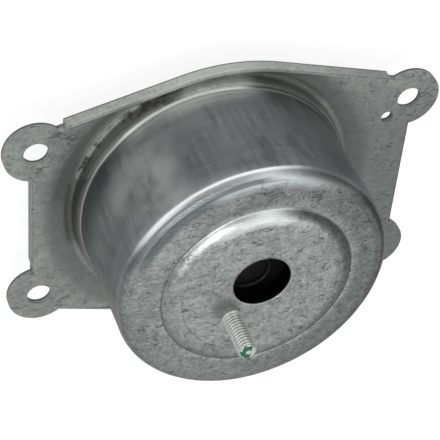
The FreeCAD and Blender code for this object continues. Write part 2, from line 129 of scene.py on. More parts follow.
def blend(tree, factor, first, second, mode="MIX"):
    """Mixes two colours by a factor."""
    return add(tree, "Mix", factor, None, None, None, None, None, first, second,
               data_type="RGBA", blend_type=mode, out=2)


def tinted(tree, colour, by):
    """A colour multiplied by a number or by another colour."""
    return blend(tree, 1.0, colour, by, mode="MULTIPLY")


# %% Helpers for node groups
def group(name, inputs, outputs, fill):
    """A node group with named number or vector inputs and outputs; fill builds what is inside."""
    tree = bpy.data.node_groups.new(name, "ShaderNodeTree")
    for label, kind, value in inputs:
        socket = tree.interface.new_socket(label, in_out="INPUT", socket_type="NodeSocket" + kind)
        if value is not None:
            socket.default_value = value
    for label in outputs:
        tree.interface.new_socket(label, in_out="OUTPUT", socket_type="NodeSocketFloat")
    entry = tree.nodes.new("NodeGroupInput")
    leave = tree.nodes.new("NodeGroupOutput")
    results = fill(tree, {label: entry.outputs[label] for label, _, _ in inputs})
    for label, socket in zip(outputs, results):
        tree.links.new(socket, leave.inputs[label])
    print("node group:", name)
    return tree


def use(tree, shared, **values):
    """Places a node group and sets its inputs; gives back its outputs by name."""
    made = tree.nodes.new("ShaderNodeGroup")
    made.node_tree = shared
    for label, value in values.items():
        socket = made.inputs[label.replace("_", " ")]
        if isinstance(value, bpy.types.NodeSocket):
            tree.links.new(value, socket)
        else:
            socket.default_value = value
    return {socket.name: socket for socket in made.outputs}


print("node helpers ready")

# %% [markdown]
# ## Floor
# The background of the photograph is plain white. A white floor does it, and it keeps a faint shadow.
# For the camera it glows a little below white, and light adds the rest. In the metal it glows white far away
# and brighter on one side, and round the part a painted shadow makes it darker: that dark zone is what makes
# the drawn wall of the can dark and leaves one bright line on its corner.


# %% Floor
def floor_grid(size, count):
    """A flat grid of points in the plane z = 0, with its faces."""
    line = np.linspace(-size, size, count)
    x, y = np.meshgrid(line, line, indexing="ij")
    points = np.stack([x, y, np.zeros_like(x)], -1).reshape(-1, 3)
    corner = (np.arange(count - 1)[:, None] * count + np.arange(count - 1)).ravel()
    faces = np.stack([corner, corner + count, corner + count + 1, corner + 1], -1)
    return points, faces


points, faces = floor_grid(size=6.0, count=13)
floor_mesh = bpy.data.meshes.new("floor")
floor_mesh.from_pydata(points.tolist(), [], faces.tolist())
floor = bpy.data.objects.new("floor", floor_mesh)
floor.location = (0, 0, -0.0002)
bpy.context.scene.collection.objects.link(floor)

paper = bpy.data.materials.new("white_floor")
paper.use_nodes = True
tree = paper.node_tree
tree.nodes.clear()
place = add(tree, "TexCoord", out=3)
parts = add(tree, "SeparateXYZ", place).node
reach = add(tree, "VectorMath", place, operation="LENGTH", out=1)
# Painted shadow: in the metal the floor is darker within about 0.2 m of the part.
out_of_painted_shadow = step(tree, reach, 0.125, 0.215)
side = add(tree, "VectorMath", add(tree, "VectorMath", place, operation="NORMALIZE"), (-0.35, 0.94, 0.0),
           operation="DOT_PRODUCT", out=1)
bright_side = step(tree, side, 0.25, 0.85)
bright = amount(tree, bright_side, 0.20, 1.5)
in_metal = amount(tree, out_of_painted_shadow, 0.11, bright)
rays = tree.nodes.new("ShaderNodeLightPath")
seen = rays.outputs["Is Camera Ray"]
strength = maths(tree, "ADD", times(tree, seen, 0.88),
                 times(tree, rays.outputs["Is Glossy Ray"], in_metal))
strength = maths(tree, "ADD", strength, times(tree, rays.outputs["Is Diffuse Ray"], 0.45))
glow = add(tree, "Emission", (1, 1, 1, 1), strength)
matt = add(tree, "BsdfDiffuse", (0.26, 0.26, 0.26, 1))
total = add(tree, "AddShader", glow, matt)
tree.links.new(total, tree.nodes.new("ShaderNodeOutputMaterial").inputs[0])
floor_mesh.materials.append(paper)
print("floor of", len(floor_mesh.polygons), "faces")

# %% [markdown]
# ## Studio light
# Metal shows its surroundings more than its own colour, so the room matters. The sky is a plain grey
# tent for matt surfaces. In the metal it is a grey room with a dark horizon. A round lamp cloth hangs
# overhead on the left of the picture and a long one runs over the right: they light the step of the
# raised disc in two parts. A window low on the left whitens the corner of the can.

# %% Sky
world = bpy.data.worlds.new("studio")
bpy.context.scene.world = world
world.use_nodes = True
tree = world.node_tree
tree.nodes.clear()
towards = add(tree, "TexCoord", out=0)
parts = add(tree, "SeparateXYZ", towards).node
height = parts.outputs[2]
back_side = step(tree, parts.outputs[1], 0.25, -0.55)
room = amount(tree, back_side, 0.13, 0.44)
room = times(tree, room, amount(tree, step(tree, height, -0.02, 0.45), 0.55, 1.0))
front = times(tree, step(tree, parts.outputs[1], 0.35, 0.90), 0.30)
dim_side = amount(tree, step(tree, parts.outputs[0], 0.35, 0.75), 1.0, 0.4)
room = times(tree, maths(tree, "ADD", room, front), dim_side)
round_cloth = ((-0.25, -0.07, 0.965), 0.925, 0.98, 1.15)
window = ((-0.90, 0.42, 0.10), 0.91, 0.97, 1.3)
for centre, edge, full, power in (round_cloth, window):
    facing = add(tree, "VectorMath", towards, centre, operation="DOT_PRODUCT", out=1)
    room = maths(tree, "ADD", room, times(tree, step(tree, facing, edge, full), power))
off_strip = maths(tree, "ABSOLUTE", maths(tree, "SUBTRACT", parts.outputs[0], 0.33))
strip = times(tree, step(tree, off_strip, 0.19, 0.09), step(tree, parts.outputs[1], -0.58, -0.40))
strip = times(tree, strip, amount(tree, step(tree, parts.outputs[1], 0.6, 0.95), 1.15, 0.5))
room = maths(tree, "ADD", room, strip)
rays = tree.nodes.new("ShaderNodeLightPath")
level = amount(tree, rays.outputs["Is Glossy Ray"], 0.62, room)
level = amount(tree, rays.outputs["Is Camera Ray"], level, 1.0)
tint = blend(tree, rays.outputs["Is Camera Ray"], (0.965, 1.0, 0.985, 1), (1, 1, 1, 1))
sky = add(tree, "Background", tint, level)
tree.links.new(sky, tree.nodes.new("ShaderNodeOutputWorld").inputs[0])
print("studio sky ready")


# %% Lamps
def lamp(name, place, size, power):
    """A square soft lamp that looks at the part's middle."""
    light = bpy.data.lights.new(name, "AREA")
    light.size = size
    light.energy = power
    thing = bpy.data.objects.new(name, light)
    thing.location = place
    aim = np.array([0, 0, 0.04]) - np.array(place)
    pitch = math.atan2(math.hypot(aim[0], aim[1]), -aim[2])
    turn = math.atan2(aim[1], aim[0]) - math.pi / 2
    thing.rotation_euler = (pitch, 0, turn)
    bpy.context.scene.collection.objects.link(thing)
    return thing


overhead = lamp("overhead_cloth", place=(-0.32, 0.14, 1.20), size=0.55, power=1.7)
print("lamp:", overhead.name)

bpy.context.scene.view_settings.view_transform = "Standard"

# %% [markdown]
# ## Sheet metal as surfaces
# A pressed or drawn piece is a profile carried along a path, so numpy works out all of its points at
# once: one array of rings, each with the same number of points. Two neighbouring rings are joined by
# quads. A profile is written as corners with a radius each, and its roundings are real arcs.


# %% From corners to a rounded profile
def rounded(corners, spacing):
    """Points along a line through corners (across, up, radius). A corner is replaced by an arc that
    touches both of its runs at radius / tan(half its inner angle) from it. Each straight run and each
    arc is divided evenly, at most one spacing apart."""
    spots = np.array([corner[:2] for corner in corners], float)
    pieces = [spots[:1]]
    for turn in range(1, len(spots) - 1):
        into = spots[turn] - spots[turn - 1]
        away = spots[turn + 1] - spots[turn]
        into, away = into / np.linalg.norm(into), away / np.linalg.norm(away)
        bend = math.acos(np.clip(into @ away, -1, 1))
        radius = corners[turn][2]
        if radius == 0:
            pieces.append(spots[turn][None])
            continue
        touch = radius * math.tan(bend / 2)
        side = np.sign(into[0] * away[1] - into[1] * away[0])
        middle = spots[turn] - into * touch + side * radius * np.array([-into[1], into[0]])
        sweep = side * np.linspace(0, bend, max(4, int(bend / 0.13)))[:, None]
        spoke = side * radius * np.array([into[1], -into[0]])
        turned = np.array([-spoke[1], spoke[0]])
        pieces.append(middle + np.cos(sweep) * spoke + np.sin(sweep) * turned)
    pieces.append(spots[-1:])
    bare = np.concatenate(pieces)
    gaps = np.linalg.norm(np.diff(bare, axis=0), axis=1)
    counts = np.maximum(1, np.ceil(gaps / spacing).astype(int))
    which = np.repeat(np.arange(len(counts)), counts)
    part = (np.arange(len(which)) - np.repeat(np.cumsum(counts) - counts, counts)) / counts[which]
    line = bare[which] + (bare[which + 1] - bare[which]) * part[:, None]
    return np.concatenate([line, bare[-1:]])


def skin(name, rings, closed=False, caps=False):
    """A mesh from rings of points (ring, point, xyz). Each ring closes on itself; closed joins the
    last ring to the first, and caps closes both ends with a fan. Faces are turned outwards."""
    count, around = rings.shape[:2]
    upper = count if closed else count - 1
    row = np.arange(upper)[:, None] * around
    after = ((np.arange(upper) + 1) % count)[:, None] * around
    here = np.arange(around)
    there = (here + 1) % around
    quads = np.stack([row + here, row + there, after + there, after + here], -1).reshape(-1, 4)
    points = rings.reshape(-1, 3)
    faces = quads.tolist()
    if caps:
        points = np.concatenate([points, rings[:1].mean(1), rings[-1:].mean(1)])
        last = (count - 1) * around
        first = len(points) - 2
        faces += np.stack([there, here, np.full(around, first)], -1).tolist()
        faces += np.stack([last + here, last + there, np.full(around, first + 1)], -1).tolist()
    a, b, c, d = (points[quads[:, k]] for k in range(4))
    volume = np.einsum("ij,ij->i", a, np.cross(b, c) + np.cross(c, d)).sum()
    if volume < 0:
        faces = [face[::-1] for face in faces]
    mesh = bpy.data.meshes.new(name)
    mesh.from_pydata(points.tolist(), [], faces)
    mesh.polygons.foreach_set("use_smooth", np.ones(len(mesh.polygons), bool))
    piece = bpy.data.objects.new(name, mesh)
    bpy.context.scene.collection.objects.link(piece)
    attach(piece, "root")
    print(name, len(mesh.polygons), "faces")
    return piece


# %% [markdown]
# ## The drawn can
# The real can is pressed from one sheet in several strokes. Its face has a raised disc with a soft
# step, a ring, and a band that falls to the rounded corner, where the long bright line lies.
# Here one profile runs over the outside and back on the inside, and is carried round the axis. Near
# the vent the rings slide over to the vent's own centre, because it is punched a little off the axis.
# Drawing leaves the wall slightly out of round, and a few slow waves give that, well under a tenth of
# a millimetre. A small bead at the foot closes the gap to the collar of the plate. Sizes are in
# millimetres.


# %% Can
FACE = 67.6
DISC = 69.6
WALL = 50.0
SHEET = 2.0
VENT = (0.8, 3.8)
VENT_RADIUS = 10.4
SLIDE_END = 27.0
RIM_WIDTH = 12.0
RIM_DROP = 1.3
CORNER_ARC = 4.2
SPACING = 0.9
CAN_SIDES = 288


def drawn_can():
    """Rings of the can. Profile f gives radius and height, and a point is centre(f) + radius *
    (cos a, sin a), with centre sliding from the vent to the axis by a smooth step of the radius.
    Waves: radius grows by a sum of slow sines of the angle and height, faded in on the wall."""
    fall = RIM_DROP / RIM_WIDTH
    outside = [(VENT_RADIUS, DISC - 0.12, 0), (VENT_RADIUS + 0.12, DISC, 0), (32.4, DISC, 7.0),
               (34.8, FACE, 1.0), (38.0, FACE, 14.0), (WALL, FACE - RIM_WIDTH * fall, CORNER_ARC),
               (WALL, 20.9, 1.0), (50.55, 20.1, 0.3), (50.55, 18.6, 0), (WALL, 17.6, 0), (WALL, 11.9, 0.8),
               (52.3, 11.9, 0), (52.3, 9.9, 0)]
    low_in = FACE - SHEET
    inside = [(WALL - SHEET, 9.9, 2.8), (WALL - SHEET, FACE - 10 * fall - SHEET * 1.006, 3.0),
              (37.9, low_in, 0), (34.05, low_in, 3.0), (31.65, DISC - SHEET, 5.0),
              (VENT_RADIUS + 0.2, DISC - SHEET, 0), (VENT_RADIUS, DISC - SHEET + 0.3, 0)]
    line = rounded(outside + inside, SPACING)
    radius, up = line[:, 0:1], line[:, 1:2]
    around = np.linspace(0, 2 * np.pi, CAN_SIDES, endpoint=False)[None]
    slide = np.clip((SLIDE_END - radius) / (SLIDE_END - VENT_RADIUS), 0, 1)
    slide = slide * slide * (3 - 2 * slide)
    on_wall = np.clip((radius - 40) / 8, 0, 1) * np.clip((up - 12) / 6, 0, 1)
    waves = (0.05 * np.sin(3 * around + 0.8) + 0.03 * np.sin(7 * around + up / 9)
             + 0.02 * np.sin(up / 2.6 + 2 * around) + 0.015 * np.sin(23 * around - up / 7))
    grown = radius + waves * on_wall
    sag = 0.05 * np.sin(2 * around + 0.4) * np.clip((radius - 14) / 14, 0, 1)
    sag = sag * (up > 50)
    x = VENT[0] * slide + grown * np.cos(around)
    y = VENT[1] * slide + grown * np.sin(around)
    z = up + sag + np.zeros_like(around)
    return np.stack([x, y, z], -1) * MM


can = skin("drawn_can", drawn_can(), closed=True)
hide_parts("housing_can")

# %% [markdown]
# ## The locating stud
# A rolled thread. In the photograph its pitch is about 1.3 mm and it is about 7 mm thick, which is more
# than the pin that stands for it in the frame, so here it follows the photograph, on the same axis. A
# thread is a round rod whose radius follows a ridge wave of the height and the angle together, so the
# ridge climbs one pitch in each turn. It fades out at the collar, and the tip is chamfered.

# %% Stud
STUD_AT = (-9.0, -11.5)
STUD_TOP = DISC + 17.15
PITCH = 1.3
CREST = 3.5
ROOT = 2.85
FOOT = 3.95
HEAD = 5.0
STUD_SIDES = 40


def threaded_rod():
    """Rings of the stud from its head under the sheet to its tip. The radius is the crest's minus a
    triangle wave of (height / pitch - angle / turn), flattened at crest and root, times a fade at
    both ends."""
    around = np.linspace(0, 2 * np.pi, STUD_SIDES, endpoint=False)[None]
    under = DISC - SHEET
    foot = np.array([[0.6, under - 1.6], [HEAD - 0.5, under - 1.6], [HEAD, under - 1.2], [HEAD, under - 0.01],
                     [2.98, under - 0.01], [2.98, DISC], [FOOT - 0.05, DISC], [FOOT, DISC + 0.35],
                     [FOOT - 0.15, DISC + 0.75], [CREST, DISC + 0.88]])
    up = np.arange(DISC + 0.95, STUD_TOP - 0.72, 0.1)
    tip = np.array([[CREST - 0.3, STUD_TOP - 0.55], [CREST - 0.55, STUD_TOP - 0.28],
                    [CREST - 0.8, STUD_TOP - 0.07], [CREST - 1.0, STUD_TOP], [1.2, STUD_TOP],
                    [0.4, STUD_TOP]])
    height = np.concatenate([foot[:, 1], up, tip[:, 1]])[:, None]
    smooth = np.concatenate([foot[:, 0], np.full(len(up), CREST), tip[:, 0]])[:, None]
    turn = (height / PITCH - around / (2 * np.pi)) % 1.0
    groove = np.clip((np.abs(turn - 0.5) * 2 - 0.16) / 0.68, 0, 1)
    starts = np.clip((height - DISC - 1.0) / 1.4, 0, 1)
    ends = np.clip((STUD_TOP - 0.1 - height) / 1.0, 0, 1)
    radius = smooth - (CREST - ROOT) * groove * starts * ends
    x = STUD_AT[0] + radius * np.cos(around)
    y = STUD_AT[1] + radius * np.sin(around)
    z = height + np.zeros_like(around)
    return np.stack([x, y, z], -1) * MM


stud = skin("threaded_stud", threaded_rod(), caps=True)
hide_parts("locating_stud")

# %% [markdown]
# ## Galvanised skin
# Hot-dip zinc on pressed steel has three scales: a soft mottle of about a millimetre, short dark
# folds where the coating wrinkled as the sheet was pressed, and small pits. Borders of cells would
# give a net. Contour lines of a noise wander and end, as folds do, and the height may step there, so
# that light catches one side of each fold.
# One group makes these for the can, the plate and its ears alike.


# %% Group for the zinc skin
def fill_skin(tree, sockets):
    """Folds: a stretched noise has contour lines; at two of its levels the height steps, and a thin
    line there is dark, both in patches. Mottle: fine noise plus broad noise. Pits: small discs."""
    where, size = sockets["Place"], sockets["Cells"]

    def noise(place, factor, detail, rough=0.5, twist=0.0):
        return add(tree, "TexNoise", place, None, Scale=times(tree, size, factor),
                   Detail=detail, Roughness=rough, Distortion=twist)

    long = add(tree, "VectorMath", where, (0.50, 1.45, 1.0), operation="MULTIPLY")
    swirl = noise(long, 0.62, 3.0, 0.55, 0.8)
    patch = step(tree, noise(where, 0.85, 2.0), 0.47, 0.60)
    folds, ledges = None, None
    for level in (0.44, 0.56):
        gap = maths(tree, "ABSOLUTE", maths(tree, "SUBTRACT", swirl, level))
        line = step(tree, gap, 0.021, 0.005)
        ledge = step(tree, swirl, level - 0.02, level + 0.02)
        folds = line if folds is None else most(tree, folds, line)
        ledges = ledge if ledges is None else maths(tree, "ADD", ledges, ledge)
    folds = times(tree, folds, patch)
    fine = noise(where, 3.6, 4.0, 0.62)
    middle = noise(where, 1.3, 2.0)
    broad = noise(where, 0.2, 3.0)
    mottle = maths(tree, "ADD", times(tree, fine, 0.55), times(tree, middle, 0.30))
    mottle = maths(tree, "ADD", mottle, times(tree, broad, 0.15))
    dots = add(tree, "TexVoronoi", where, None, Scale=times(tree, size, 1.6), feature="F1")
    pits = times(tree, step(tree, dots, 0.26, 0.10), step(tree, noise(where, 0.7, 1.0), 0.54, 0.64))
    height = maths(tree, "ADD", times(tree, mottle, 1.1), times(tree, ledges, 0.28))
    height = maths(tree, "SUBTRACT", height, times(tree, folds, 0.5))
    height = maths(tree, "SUBTRACT", height, times(tree, pits, 0.5))
    return mottle, folds, pits, height


zinc_skin = group("zinc_skin", [("Place", "Vector", None), ("Cells", "Float", 260.0)],
                  ["Mottle", "Folds", "Pits", "Height"], fill_skin)


# %% Group for drawn walls
def fill_drawn(tree, sockets):
    """Streaks along the axis are noise of a place squeezed along it; rings round the axis are noise
    of a place squeezed across it. Scuffs are dark, broad streaks that lean, and scratches are
    thin contour lines of a bent noise, in patches."""
    where = sockets["Place"]
    along = add(tree, "VectorMath", where, (1.0, 1.0, 0.045), operation="MULTIPLY")
    streaks = add(tree, "TexNoise", along, None, Scale=420.0, Detail=4.0, Roughness=0.6)
    across = add(tree, "VectorMath", where, (0.06, 0.06, 1.0), operation="MULTIPLY")
    rings = add(tree, "TexNoise", across, None, Scale=520.0, Detail=4.0, Roughness=0.65)
    lean = add(tree, "Mapping", where, None, (0.22, -0.12, 0.4), (1.0, 1.0, 0.34))
    scuff = add(tree, "TexNoise", lean, None, Scale=150.0, Detail=3.0, Roughness=0.5)
    cloud = add(tree, "TexNoise", where, None, Scale=38.0, Detail=3.0, Roughness=0.55)
    patch = add(tree, "TexNoise", where, None, Scale=95.0, Detail=2.0, Roughness=0.5)
    bent = add(tree, "Mapping", where, None, (0.10, 0.30, -0.3), (1.0, 1.0, 0.30))
    curl = add(tree, "TexNoise", bent, None, Scale=62.0, Detail=1.0, Roughness=0.4, Distortion=0.6)
    scratch = step(tree, maths(tree, "ABSOLUTE", maths(tree, "SUBTRACT", curl, 0.5)), 0.0045, 0.0015)
    scratch = times(tree, scratch, step(tree, patch, 0.52, 0.60))
    return streaks, rings, step(tree, scuff, 0.54, 0.70), cloud, patch, scratch


drawn_marks = group("drawn_marks", [("Place", "Vector", None)],
                    ["Streaks", "Rings", "Scuffs", "Cloud", "Patch", "Scratches"], fill_drawn)

# %% [markdown]
# ## Finish of the can
# The face keeps its rough zinc skin, while the wall was ironed smooth by the die, so the skin fades out over
# the corner and drawing marks take over. A mask from the height and the radius does the change. The wall is
# darker and a little blue, and its last band over the collar is paler, a painted reflection on the side
# towards the plate's peak.


# %% Helpers for a material
def material(name):
    """An empty material with its Principled shader and its place in object coordinates."""
    made = bpy.data.materials.new(name)
    made.use_nodes = True
    tree = made.node_tree
    tree.nodes.clear()
    shader = tree.nodes.new("ShaderNodeBsdfPrincipled")
    tree.links.new(shader.outputs[0], tree.nodes.new("ShaderNodeOutputMaterial").inputs[0])
    return made, tree, shader, add(tree, "TexCoord", out=3)


def feed(tree, shader, **values):
    """Sets or links the shader's inputs by name."""
    for label, value in values.items():
        socket = shader.inputs[label.replace("_", " ")]
        if isinstance(value, bpy.types.NodeSocket):
            tree.links.new(value, socket)
        else:
            socket.default_value = value


def tone(tree, value, low, high):
    """A number from 0 to 1 turned into a grey between two colours."""
    return blend(tree, value, (*low, 1.0), (*high, 1.0))


def facing_way(tree, way, x, y, low, high):
    """A mask round the part: 1 where the unit direction way points along (x, y), 0 away from it."""
    return step(tree, add(tree, "VectorMath", way, (x, y, 0.0), operation="DOT_PRODUCT", out=1), low, high)


# Two sides of the part: a direction, and the two values between which its mask fades in.
TO_LEFT = (-0.98, 0.20, 0.45, 0.75)
TO_PEAK = (-0.30, 0.954, 0.84, 0.92)
print("material helpers ready")

# %% Galvanised can
can_finish, tree, shader, place = material("galvanised_can")
parts = add(tree, "SeparateXYZ", place).node
flat = add(tree, "VectorMath", place, (1.0, 1.0, 0.0), operation="MULTIPLY")
radius = add(tree, "VectorMath", flat, operation="LENGTH", out=1)
marks = use(tree, zinc_skin, Place=place, Cells=270.0)
drawn = use(tree, drawn_marks, Place=place)
way = add(tree, "VectorMath", flat, operation="NORMALIZE")
wall = times(tree, step(tree, parts.outputs[2], 0.0658, 0.0640), step(tree, radius, 0.0470, 0.0488))
print("can masks ready")

# %% [markdown]
# ### The face of the can
# The face is grey, mottled zinc. Its falling rim mirrors the room in broad zones: a bluish one on the left
# and a bright one towards the plate's peak. More lamps would give them too, but they would spoil the plate,
# so these zones are painted reflections, made by masks by direction and radius in the zinc's colour, with a
# painted dark ring between them. Painted shade darkens the face's outer part towards one side, on its upper
# rim and on the ring towards the plate's peak.

# %% Can: face and rim
face_tone = tone(tree, step(tree, marks["Mottle"], 0.32, 0.68), (0.38, 0.395, 0.388), (0.74, 0.76, 0.75))
# Painted shade: outside the disc the face is darker towards one side, on its upper rim and on the ring
# towards the peak.
shade = amount(tree, facing_way(tree, way, 0.94, 0.34, -0.4, 0.9), 0.84, 0.70)
shade = amount(tree, step(tree, radius, 0.0345, 0.0385), 1.0, shade)
shaded_upper_rim = times(tree, step(tree, radius, 0.0375, 0.0395), facing_way(tree, way, 0.55, 0.83, 0.70, 0.95))
shade = amount(tree, shaded_upper_rim, shade, 0.58)
shaded_front_ring = times(tree, step(tree, radius, 0.0355, 0.0375), facing_way(tree, way, -0.25, 0.97, 0.90, 0.98))
shade = times(tree, shade, amount(tree, shaded_front_ring, 1.0, 0.80))
face_tone = tinted(tree, face_tone, shade)
# Painted reflections on the rim: a dark bluish zone on the left and a mid grey one elsewhere.
bluish_reflection_side = facing_way(tree, way, -0.74, 0.67, 0.86, 0.95)
painted_reflection_tone = blend(tree, bluish_reflection_side, (0.52, 0.55, 0.56, 1), (0.23, 0.26, 0.275, 1))
painted_reflection_band = times(tree, step(tree, radius, 0.0425, 0.0450), facing_way(tree, way, -0.35, 0.94, 0.55, 0.80))
face_tone = blend(tree, painted_reflection_band, face_tone, painted_reflection_tone)
# A painted dark reflection in a thin ring, and a painted highlight just outside it.
dark_reflection_ring = times(tree, step(tree, radius, 0.0460, 0.0467), step(tree, radius, 0.0482, 0.0478),
                facing_way(tree, way, -0.45, 0.89, 0.80, 0.93))
face_tone = blend(tree, times(tree, dark_reflection_ring, 0.85), face_tone, (0.17, 0.185, 0.19, 1))
lit = times(tree, step(tree, radius, 0.0465, 0.0478), facing_way(tree, way, 0.42, 0.91, 0.88, 0.975))
face_tone = blend(tree, lit, face_tone, (0.86, 0.88, 0.88, 1))
print("can face ready")

# %% [markdown]
# ### The wall of the can
# The die has left streaks along the wall and rings round it, with scuffs and a few scratches on top.
# Masks by direction and height then paint light and shade into the wall's colour: painted light as a pale,
# less metallic patch on the left, painted shade low on the left and over the right, and a painted reflection
# as a pale, less metallic band above the collar towards the plate's peak.

# %% Can: wall
wall_tone = tone(tree, step(tree, drawn["Cloud"], 0.3, 0.7), (0.36, 0.385, 0.395), (0.50, 0.52, 0.52))
streak = amount(tree, step(tree, drawn["Streaks"], 0.3, 0.7), 0.82, 1.12)
streak = amount(tree, step(tree, drawn["Patch"], 0.42, 0.58), 1.0, streak)
ring = amount(tree, step(tree, drawn["Rings"], 0.3, 0.7), 0.88, 1.10)
high_up = step(tree, parts.outputs[2], 0.040, 0.054)
ring = amount(tree, most(tree, high_up, 0.35), 1.0, ring)
wall_tone = tinted(tree, wall_tone, times(tree, streak, ring))
wall_tone = blend(tree, times(tree, drawn["Scuffs"], 0.55), wall_tone, (0.19, 0.205, 0.215, 1))
wall_tone = blend(tree, times(tree, drawn["Scratches"], 0.4), wall_tone, (0.74, 0.76, 0.76, 1))
# Painted light: a pale, less metallic patch in clouds on the left of the wall, higher up.
matt = times(tree, facing_way(tree, way, -0.72, 0.69, 0.93, 0.99), step(tree, drawn["Cloud"], 0.30, 0.62))
matt = times(tree, matt, step(tree, parts.outputs[2], 0.022, 0.040))
wall_tone = blend(tree, matt, wall_tone, (0.64, 0.66, 0.64, 1))
# Painted shade: darker low on the left, and over the right side at every height.
low = times(tree, facing_way(tree, way, -0.98, 0.17, 0.80, 0.95), step(tree, parts.outputs[2], 0.042, 0.020))
low = most(tree, low, times(tree, facing_way(tree, way, 0.77, 0.64, 0.70, 0.92), 0.5))
wall_tone = blend(tree, times(tree, low, 0.7), wall_tone, (0.16, 0.175, 0.185, 1))
# Painted reflection: a pale, less metallic band just above the collar towards the plate's peak.
painted_pale_band = times(tree, facing_way(tree, way, -0.25, 0.97, 0.80, 0.93),
             step(tree, parts.outputs[2], 0.0290, 0.0225))
painted_pale_band = times(tree, painted_pale_band, amount(tree, step(tree, drawn["Cloud"], 0.35, 0.6), 0.55, 0.95))
painted_pale_band = times(tree, painted_pale_band, amount(tree, step(tree, drawn["Rings"], 0.40, 0.56), 0.68, 1.0))
wall_tone = blend(tree, painted_pale_band, wall_tone, (0.74, 0.735, 0.70, 1))
print("can wall ready")

# %% [markdown]
# ### The foot of the can
# Where the wall meets the plate's collar runs a thin line of painted light, bright towards the plate's peak,
# grey on the left and dark elsewhere, with a line of painted shade above it.

# %% Can: foot
# Painted shade in a thin band just above the collar.
shade_above_foot = times(tree, step(tree, parts.outputs[2], 0.0217, 0.0211), 0.45)
wall_tone = blend(tree, shade_above_foot, wall_tone, (0.17, 0.175, 0.175, 1))
# Painted light on the foot line, brightest towards the peak.
painted_foot_tone = blend(tree, facing_way(tree, way, *TO_LEFT), (0.24, 0.245, 0.24, 1), (0.50, 0.505, 0.49, 1))
painted_foot_tone = blend(tree, facing_way(tree, way, *TO_PEAK), painted_foot_tone, (0.90, 0.90, 0.87, 1))
painted_foot_line = times(tree, step(tree, parts.outputs[2], 0.0207, 0.0204),
                step(tree, parts.outputs[2], 0.0160, 0.0170))
wall_tone = blend(tree, painted_foot_line, wall_tone, painted_foot_tone)
print("can foot ready")

# %% [markdown]
# ### Folds, lines and gloss of the can
# Folds and pits are dark on the face and hardly seen on the wall. A line of painted shade runs round the foot
# of the raised disc, and a painted reflection of the stud lies faintly beside it, which a rough surface can't
# show by itself. A painted highlight runs along the corner towards the plate's peak.

# %% Can: folds and lines
colour = blend(tree, wall, face_tone, wall_tone)
dark = most(tree, marks["Folds"], times(tree, marks["Pits"], 0.8))
dark = times(tree, dark, amount(tree, wall, 0.80, 0.10))
dark = times(tree, dark, off(tree, times(tree, painted_reflection_band, 0.9)))
colour = blend(tree, dark, colour, (0.15, 0.16, 0.16, 1))
# Painted shade: a dark line round the foot of the raised disc.
foot = times(tree, step(tree, radius, 0.0345, 0.0349), step(tree, radius, 0.0356, 0.0351))
foot = times(tree, foot, step(tree, parts.outputs[2], 0.0670, 0.0674))
colour = blend(tree, times(tree, foot, 0.6), colour, (0.12, 0.125, 0.13, 1))
vent = add(tree, "VectorMath", flat, (VENT[0] * MM, VENT[1] * MM, 0.0), operation="DISTANCE", out=1)
vent = step(tree, vent, 0.01062, 0.01054)
colour = blend(tree, vent, colour, (0.03, 0.03, 0.03, 1))
from_stud = add(tree, "VectorMath", flat, (STUD_AT[0] * MM - 0.0030, STUD_AT[1] * MM + 0.0055, 0.0),
                operation="DISTANCE", out=1)
mirror = times(tree, step(tree, from_stud, 0.0062, 0.0028), 0.55)
colour = blend(tree, mirror, colour, (0.19, 0.235, 0.215, 1))
corner = times(tree, step(tree, radius, 0.0435, 0.0460), step(tree, parts.outputs[2], 0.0590, 0.0615))
# Painted highlight: a bright line on the corner towards the peak.
line = times(tree, step(tree, radius, 0.0480, 0.0485), step(tree, parts.outputs[2], 0.0628, 0.0635))
line = times(tree, line, facing_way(tree, way, -0.42, 0.91, 0.72, 0.90))
colour = blend(tree, line, colour, (0.68, 0.70, 0.71, 1))
print("can lines ready")

# %% Can: gloss and bump
rough = amount(tree, wall, amount(tree, marks["Mottle"], 0.36, 0.52),
               amount(tree, drawn["Cloud"], 0.24, 0.36))
rough = amount(tree, corner, rough, 0.31)
on_step = times(tree, step(tree, radius, 0.0285, 0.0305), step(tree, radius, 0.0362, 0.0350))
rough = amount(tree, times(tree, on_step, 0.7), rough, 0.27)
# Painted highlight on the step of the raised disc towards the peak, and painted shade along a crease of the
# plateau on its shaded side.
step_lit = times(tree, on_step, facing_way(tree, way, -0.15, 0.99, 0.86, 0.95))
colour = blend(tree, times(tree, step_lit, 0.7), colour, (0.90, 0.92, 0.92, 1))
shaded_side = facing_way(tree, way, -0.82, -0.57, 0.55, 0.85)
crease_shade = times(tree, step(tree, radius, 0.0276, 0.0280), step(tree, radius, 0.0287, 0.0281),
               shaded_side, 0.40)
colour = blend(tree, crease_shade, colour, (0.16, 0.17, 0.17, 1))
smooth = most(tree, on_step, step(tree, radius, 0.0445, 0.0465))
skin_height = times(tree, marks["Height"], amount(tree, smooth, 1.0, 0.22))
bumps = amount(tree, wall, skin_height, times(tree, drawn["Rings"], most(tree, high_up, 0.3), 0.25))
bump = add(tree, "Bump", 0.7, 0.00025, Height=bumps)
metal = amount(tree, most(tree, times(tree, painted_pale_band, 0.75), times(tree, matt, 0.4)), 1.0, 0.2)
metal = amount(tree, wall, 1.0, metal)
metal = amount(tree, painted_foot_line, metal, 0.25)
feed(tree, shader, Base_Color=colour, Metallic=metal, Roughness=rough, Normal=bump)
can.data.materials.append(can_finish)
print("finish:", can_finish.name)

# %% [markdown]
# ## Finish of the mounting plate
# The same zinc skin, a little darker and rougher. The folded lips and sheared edges face sideways, which the
# mask reads from the surface's normal: the lips that face the light get painted light, with a thin dark line
# at the free edge, and the sheared edges get painted shade on their lower half. Dirt has stayed in the gutter
# round the can, as dark stains.

